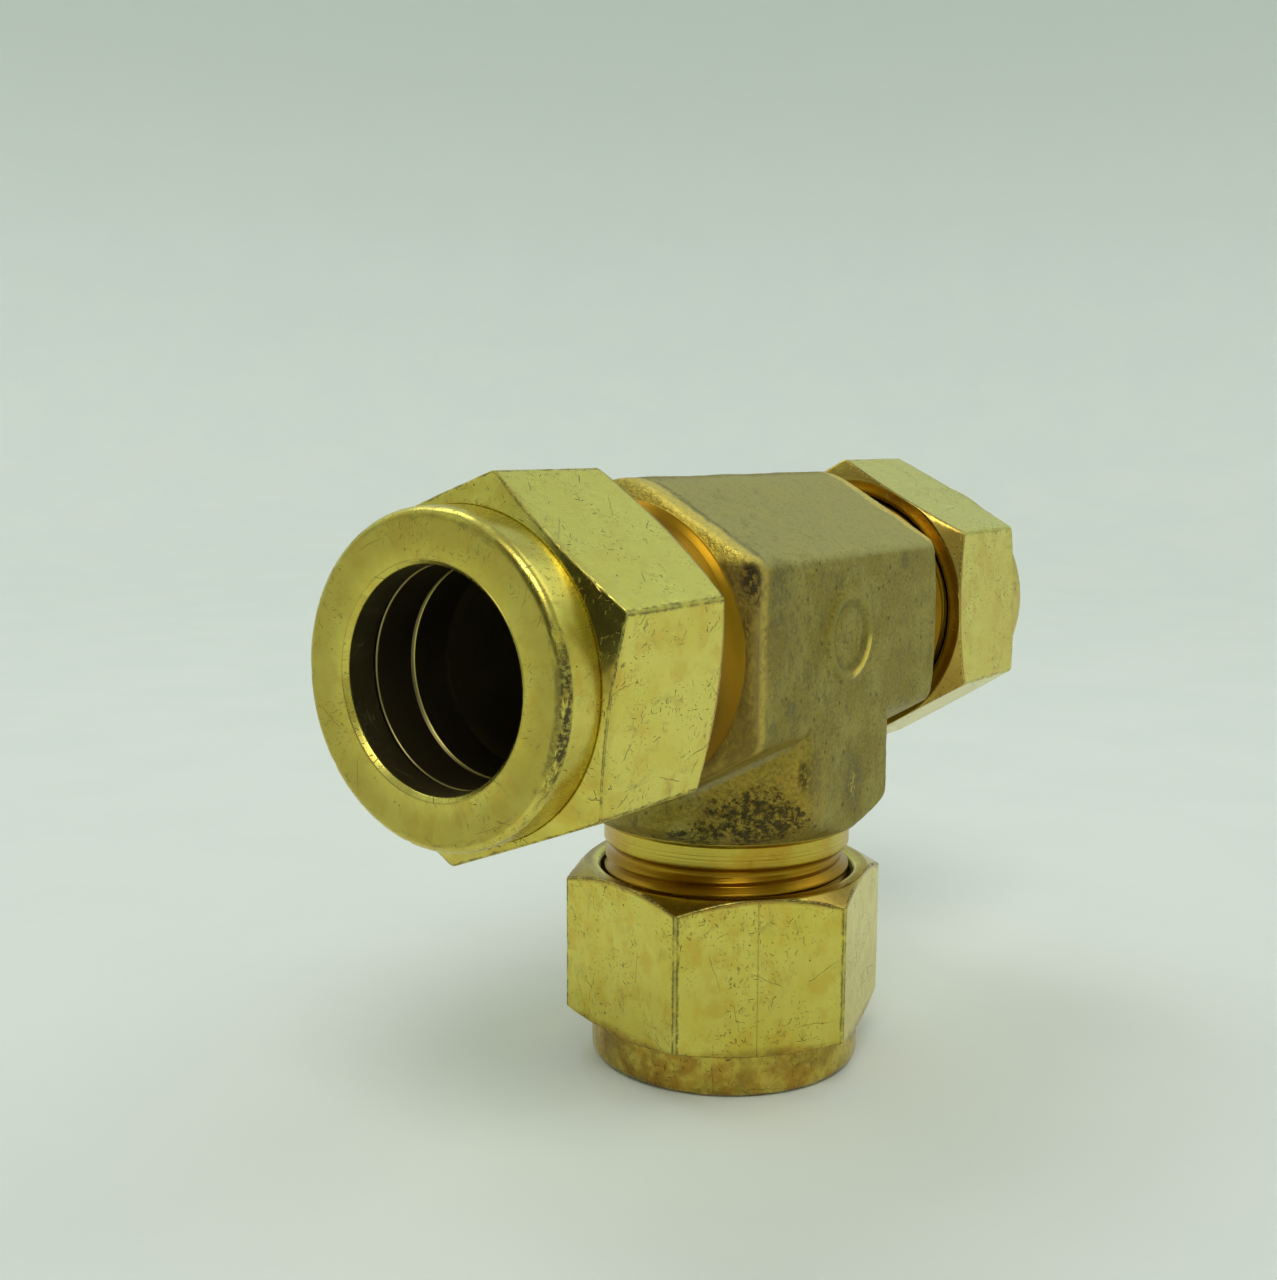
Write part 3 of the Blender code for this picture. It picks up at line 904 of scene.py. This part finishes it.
def ferrule_brass():
    """Turned ferrules, darkened with painted shade all over except their small edges."""
    p = Paint("ferrule_shade")
    place = p.place()
    x, y, z = p.parts(place)
    radius = p.hypot(x, y)
    bright = []
    for edge_r, edge_z, shine in BRIGHT_EDGES:
        away = p.hypot(p.minus(radius, edge_r), p.minus(z, edge_z))
        bright.append(p.ramp(away, 0.075, 0.03, 0.0, shine))
    edge = p.most(*bright)
    # Painted shade: the ferrules are darkened all over, except their edges
    ferrule_shade_tone = p.mix(p.ramp(p.noise(place, 0.6, 4.0), 0.4, 0.65), BORE_SHADE, FERRULE_SHADE)
    tone = p.mix(edge, ferrule_shade_tone, BRASS_PALE)
    rough = p.scaled(edge, -0.2, 0.42)
    normal = p.bump(p.noise(p.join(radius, z, 0.0), 6.0, 3.0), 0.4, 0.015)
    return p.finish(tone, rough, 1.0, normal)


# Patches on the forging, in millimetres from the tee's centre: centre, half axes, strength
BROWN_SCALE = (
    ((-15.8, -11.4, 5.8), (1.2, 2.2, 2.8), 1.0),
    ((-8.9, -8.5, -13.2), (5.0, 8.5, 5.0), 0.60),
    ((-11.5, -12.5, 2.0), (4.0, 2.0, 7.0), 0.30),
    ((0.2, -12.5, -13.2), (2.6, 1.5, 3.0), 0.35),
)
TANNED = ((-8.9, -9.4, -11.4), (6.4, 8.4, 6.4))
SMUDGES = (
    ((0.4, -12.5, -12.2), (2.4, 1.5, 3.4)),
    ((-10.6, -12.0, -4.6), (1.4, 2.0, 1.4)),
    ((-6.4, -12.4, -10.5), (1.6, 1.6, 3.4)),
    ((-12.6, -12.3, 4.5), (2.0, 1.5, 4.6)),
    ((9.4, -12.5, 6.0), (1.1, 1.5, 1.3)),
    ((-2.8, -12.5, 5.1), (1.2, 1.5, 0.9)),
)
PITTED = (
    ((-9.2, -8.9, -14.4), (3.8, 7.0, 3.3)),
    ((-11.6, -5.4, -15.9), (1.9, 2.6, 1.7), 0.9),
    ((-12.4, -3.0, -16.2), (1.5, 1.7, 0.9)),
)
DARK_STREAK = ((-7.5, -12.1, -10.7), (0.5, 0.7, 1.8), 0.8)
CORNER_PITS = ((-15.9, -11.8, 5.6), (0.8, 1.5, 3.2))
KNOCK = ((0.4, -12.5, -12.6), (0.7, 0.8, 1.6), 0.5)
RUN_EDGE = -14.9  # where the left run end starts to round
SCALE_TOP = (8.6, 6.6)  # the scale on the left run end fades in between these heights
MOAT_R = 2.75  # the dark hollow inside the cast ring
CRESCENT_WAY = (0.71, 0.0, -0.71)  # the side of the cast ring that is worn bright


def forging_oxide(p, place, x, grain, top):
    """Olive oxide with a dark mottle and sandy specks, paler on the top flat."""
    left = p.ramp(x, 4.0, -12.0)
    patch = p.noise(place, 0.28, 4.0, 0.6)
    tone = p.mix(p.ramp(patch, 0.40, 0.64), FORGED, FORGED_PALE)
    tone = p.mix(p.times(top, 0.75), tone, FORGED_TOP)
    drawn = p.noise(p.stretched(place, 1.0, 1.0, 0.65), 0.95, 5.0, 0.68)
    mottle = p.times(p.ramp(drawn, 0.48, 0.66), p.scaled(left, 0.40, 0.30))
    tone = p.mix(p.times(mottle, p.ramp(top, 0.0, 1.0, 1.0, 0.35)), tone, FORGED_DARK)
    hollows = p.times(p.ramp(grain, 0.52, 0.66), p.ramp(top, 0.0, 1.0, 0.65, 0.35))
    tone = p.mix(hollows, tone, FORGED_DARK)
    tone = p.mix(p.ramp(grain, 0.46, 0.34, 0.0, 0.45), tone, FORGED_GRAIN)
    speck = p.node("TexVoronoi", {"Vector": place, "Scale": 0.9}).outputs
    chosen = p.above(p.parts(speck["Color"])[0], 0.62)
    dot = p.times(p.ramp(speck["Distance"], 0.24, 0.10), chosen, p.ramp(top, 0.0, 1.0, 0.6, 0.15))
    return p.mix(dot, tone, SAND_BLACK)


def forging_scale(p, tone, place, grain, pores):
    """Brown scale under the near top corner, down the left end and on the branch's left facet.

    Returns the new tone and the scale's share."""
    x, y, z = p.parts(place)
    below_top = p.ramp(z, *SCALE_TOP)
    run_end = p.times(p.ramp(x, RUN_EDGE, RUN_EDGE - 0.5), below_top, 0.7)
    tone = p.mix(run_end, tone, RUN_END_TAN)
    strip = p.times(p.band(x, RUN_EDGE, 0.8, 0.2), below_top, p.ramp(pores, 0.62, 0.44, 0.2, 0.8))
    tone = p.mix(strip, tone, RUN_EDGE_TAN)
    past_edge = p.times(p.ramp(x, RUN_EDGE - 0.4, RUN_EDGE - 0.9), below_top, 0.6)
    brown = p.most(p.patches(place, BROWN_SCALE), past_edge)
    brown = p.times(brown, p.ramp(p.noise(place, 1.3, 5.0, 0.65), 0.36, 0.58))
    tone = p.mix(brown, tone, FORGED_BROWN)
    tanned = p.times(p.near(place, *TANNED), p.ramp(grain, 0.60, 0.40, 0.35, 0.75))
    tone = p.mix(tanned, tone, FORGED_TAN)
    smudge = p.times(p.patches(place, SMUDGES), p.ramp(pores, 0.36, 0.56), 0.6)
    tone = p.mix(smudge, tone, FORGED_DARK)
    # The concave line where the branch meets the run is paler: a painted reflection of the sky
    crease = p.times(p.band(x, z, 0.75, 0.35), p.ramp(y, -3.0, -5.0), p.ramp(x, -7.2, -9.4))
    return p.mix(p.times(crease, 0.5), tone, CREASE_SKY_REFLECTION), brown


def forging_pits(p, place, pores):
    """Black pits low on the branch's left facet and in the near top corner, and a short streak."""
    pitted = p.patches(place, PITTED)
    pits = p.noise(p.stretched(place, 1.0, 1.0, 1.3), 1.4, 8.0, 0.86, 0.2)
    pits = p.times(p.ramp(p.scaled(pitted, 0.085, pits), 0.555, 0.62), p.ramp(pitted, 0.0, 0.3))
    streak = p.times(p.near(place, *DARK_STREAK), p.ramp(pores, 0.40, 0.54))
    corner = p.times(p.near(place, *CORNER_PITS), p.ramp(pores, 0.44, 0.56))
    return p.most(pits, streak, corner)


def forging_wear(p, tone, place, grain, pores):
    """Gold where the run ends' rounding, the cast ring and the branch's edge have been handled.

    Returns the new tone, the worn share and the part of it on the cast ring."""
    x, y, z = p.parts(place)
    from_middle = p.times(p.minus(p.noise(place, 0.8, 3.0), 0.5), 0.9)
    from_middle = p.plus(p.math("ABSOLUTE", x), from_middle)
    upper = p.ramp(z, 7.0, 7.9)
    fleck = p.ramp(p.noise(place, 3.0, 4.0, 0.7), 0.64, 0.46, 0.45, 1.0)
    worn = p.times(p.ramp(from_middle, 14.5, 15.1), upper, p.ramp(y, 2.0, -6.0, 0.35, 1.0), fleck)
    line = p.times(p.band(from_middle, 14.2, 0.45, 0.1), upper, p.ramp(pores, 0.38, 0.55))
    tone = p.mix(p.times(line, p.ramp(x, 0.0, -2.0), 0.6), tone, FORGED_DARK)

    off = p.join(p.minus(x, RING_CENTRE[0]), 0.0, p.minus(z, RING_CENTRE[1]))
    from_ring = p.vector("LENGTH", off)
    on_flat = p.ramp(y, -11.9, -12.2)
    bead = p.times(p.band(from_ring, RINGS[0][0], 0.42, 0.14), on_flat)
    toward = p.math("DIVIDE", p.vector("DOT_PRODUCT", off, CRESCENT_WAY), from_ring)
    crescent = p.times(bead, p.ramp(toward, 0.70, 0.90))
    moat = p.times(p.band(from_ring, MOAT_R, 0.5, 0.1), on_flat, 0.35)
    tone = p.mix(moat, tone, FORGED_DARK)
    tone = p.mix(p.times(bead, 0.45), tone, FORGED_PALE)
    knock = p.times(p.near(place, *KNOCK), p.ramp(grain, 0.50, 0.42))
    worn = p.most(worn, crescent, knock)
    return p.mix(p.times(worn, 0.92), tone, WORN_GOLD), worn, crescent


def forging_brass():
    """Shot-blasted forged brass: a sandy grain, grey-olive oxide, brown scale and worn gold edges."""
    p = Paint("forging_brass")
    place = p.place()
    x, y, z = p.parts(place)
    grain = p.noise(place, 3.2, 4.0, 0.62)
    pores = p.noise(place, 1.7, 5.0, 0.68)
    toward_top_flat = p.plus(p.times(y, -0.5), p.times(z, 0.866))
    top = p.ramp(toward_top_flat, BODY_FLAT_R - 0.6, BODY_FLAT_R - 0.1)

    tone = forging_oxide(p, place, x, grain, top)
    tone, brown = forging_scale(p, tone, place, grain, pores)
    black = forging_pits(p, place, pores)
    tone = p.mix(p.times(black, 0.85), tone, SAND_BLACK)
    tone, worn, crescent = forging_wear(p, tone, place, grain, pores)

    rough = p.scaled(p.ramp(p.noise(place, 0.28, 4.0, 0.6), 0.35, 0.65), 0.08, 0.46)
    for share, added in ((worn, -0.22), (crescent, -0.12), (black, 0.2)):
        rough = p.scaled(share, added, rough)
    relief = p.scaled(pores, 0.8, p.scaled(black, -1.2, grain))
    metallic = p.minus(0.96, p.times(p.most(black, brown), 0.35))
    return p.finish(tone, rough, metallic, p.bump(relief, 0.85, 0.19))


# ---- assembly


# Each nut's seed, amber, wear, edges, line and up, as nut_brass takes them
NUT_LOOKS = {
    "left": (1, 0.25, 1.0, 0.85, 71.0, (0, 1, 0)),
    "right": (2, 0.3, 0.8, 0.6, 52.0, (0, -1, 0)),
    "branch": (3, 1.0, 0.9, 1.0, 36.9, (0, 0, -1)),
}


def add_piece(name, mesh, matrix, material, body, node):
    item = piece(name, mesh, matrix, material)
    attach(item, body)
    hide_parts(node)


def add_object():
    body = add_body(forging_brass(), neck_brass())
    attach(body, "tee_body")
    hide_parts("tee_body")
    finish = ferrule_brass()
    for port, look in NUT_LOOKS.items():
        matrix = port_matrix(port)
        brass = nut_brass("nut_brass_" + port, *look)
        mesh = nut_mesh(port, look[0] * 10)
        add_piece("hex_nut_" + port, mesh, matrix, brass, "nut_" + port, "nut_" + port)
        for end, make in (("front", front_ferrule_mesh), ("back", back_ferrule_mesh)):
            name = f"ferrule_{end}_{port}"
            node = f"{end}_ferrule_{port}"
            add_piece(name, make(port), matrix, finish, "ferrules_" + port, node)


# ---- stage, light and camera


PAPER, PAPER_PALE = (0.88, 0.915, 0.885, 1), (0.90, 0.93, 0.90, 1)
WALL_SHADE, KEY_SIDE_SHADE = (0.68, 0.74, 0.69, 1), (0.50, 0.545, 0.51, 1)
FLAG_BLACK = (0.02, 0.02, 0.02, 1)
WORLD = (0.92, 1.0, 0.93, 1)
WORLD_STRENGTH = 0.36
# Each area light's place, size in metres, power in watts and colour
LIGHTS = {
    "key": ((-0.42, -0.30, 0.70), 0.42, 1.75, (1.0, 1.0, 0.96)),
    "fill": ((0.45, -0.35, 0.75), 0.60, 0.85, (0.97, 1.0, 0.95)),
    "back": ((0.05, 0.50, 0.85), 0.60, 1.45, (0.97, 1.0, 0.97)),
}
FLOOR_R, BEND_R, WALL_TOP = 0.42, 0.34, 1.1
WALL_LEAN = math.radians(8)
CAMERA_PLACE = (-0.114706, -0.071633, 0.055662)
CAMERA_TURN = (35.387, -7.6365, 0.295)  # yaw, pitch and roll, in degrees
CAMERA_LENS = 42.927


def stage_material():
    """Pale, slightly clouded paper, with painted shade half way up the wall and on the key light's side.
    """
    p = Paint("stage_paper")
    place = p.place(CM)
    tone = p.mix(p.ramp(p.noise(place, 0.35, 4.0), 0.35, 0.65), PAPER, PAPER_PALE)
    height = p.parts(place)[2]
    # Painted shade on the backdrop: darker half way up the wall and on the key light's side
    tone = p.mix(p.times(p.ramp(height, 2.0, 32.0), p.ramp(height, 55.0, 33.0)), tone, WALL_SHADE)
    toward_key = p.vector("DOT_PRODUCT", place, (-0.80, -0.60, 0.0))
    tone = p.mix(p.times(p.ramp(toward_key, 25.0, 50.0), 0.9), tone, KEY_SIDE_SHADE)
    normal = p.bump(p.noise(place, 20.0, 3.0), 0.1, 0.05)
    return p.finish(tone, 0.85, 0.0, normal)


def add_stage():
    """A pale bowl: a flat floor that curves up into a wall all round."""
    middle_r, floor_steps, bend_steps, count = 0.02, 8, 16, 96
    profile = [(r, 0) for r in np.linspace(middle_r, FLOOR_R, floor_steps + 1)]
    for step in range(1, bend_steps + 1):
        angle = (FULL_TURN / 4 - WALL_LEAN) * step / bend_steps
        profile.append((FLOOR_R + BEND_R * math.sin(angle), BEND_R * (1 - math.cos(angle))))
    end_r, end_z = profile[-1]
    profile.append((end_r + (WALL_TOP - end_z) * math.tan(WALL_LEAN), WALL_TOP))
    work = bmesh.new()
    rings = []
    for r, z in profile:
        ring = [work.verts.new((r * math.cos(a), r * math.sin(a), z)) for a in even_angles(count)[:-1]]
        rings.append(ring)
    work.faces.new(rings[0])
    for low, high in zip(rings, rings[1:]):
        for k in range(count):
            after = (k + 1) % count
            work.faces.new((low[k], low[after], high[after], high[k]))
    bmesh.ops.recalc_face_normals(work, faces=work.faces)
    mesh = bpy.data.meshes.new("backdrop")
    work.to_mesh(mesh)
    work.free()
    mesh.shade_smooth()
    piece("backdrop", mesh, Matrix.Identity(4), stage_material())


def add_flag():
    """A dark card that only reflections see. It gives the end-face chamfers their dark side."""
    x, y_low, y_high, top = -0.38, -0.17, 0.09, 0.40
    corners = [(x, y_low, 0.0), (x, y_high, 0.0), (x, y_high, top), (x, y_low, top)]
    mesh = bpy.data.meshes.new("flag")
    mesh.from_pydata(corners, [], [(0, 1, 2, 3)])
    p = Paint("flag_black")
    p.put(p.shader.inputs["Base Color"], FLAG_BLACK)
    p.put(p.shader.inputs["Roughness"], 0.9)
    flag = piece("flag", mesh, Matrix.Identity(4), p.material)
    flag.visible_camera = flag.visible_diffuse = flag.visible_shadow = False


def add_area(name, location, size, power, colour):
    """A round area light that points at the tee's centre."""
    light = bpy.data.lights.new(name, "AREA")
    light.shape = "DISK"
    light.size = size
    light.energy = power
    light.color = colour
    away = (Vector(location) - CENTRE).normalized()
    placed(name, light, Matrix.Translation(location) @ away.to_track_quat("Z", "Y").to_matrix().to_4x4())


def add_light():
    world = bpy.data.worlds.new("studio")
    world.use_nodes = True
    background = world.node_tree.nodes["Background"]
    background.inputs["Color"].default_value = WORLD
    background.inputs["Strength"].default_value = WORLD_STRENGTH
    bpy.context.scene.world = world
    for name, settings in LIGHTS.items():
        add_area(name, *settings)


def add_camera():
    yaw, pitch, roll = (math.radians(a) for a in CAMERA_TURN)
    look = Vector((math.cos(yaw) * math.cos(pitch), math.sin(yaw) * math.cos(pitch), math.sin(pitch)))
    level = Vector((math.sin(yaw), -math.cos(yaw), 0))
    right = math.cos(roll) * level + math.sin(roll) * level.cross(look)
    up = right.cross(look)
    data = bpy.data.cameras.new("camera")
    data.lens = CAMERA_LENS
    data.clip_start = 0.01
    turn = Matrix((right, up, -look)).transposed().to_4x4()
    bpy.context.scene.camera = placed("camera", data, Matrix.Translation(CAMERA_PLACE) @ turn)


add_camera()
add_object()
add_stage()
add_flag()
add_light()
bpy.context.scene.view_settings.view_transform = "Standard"
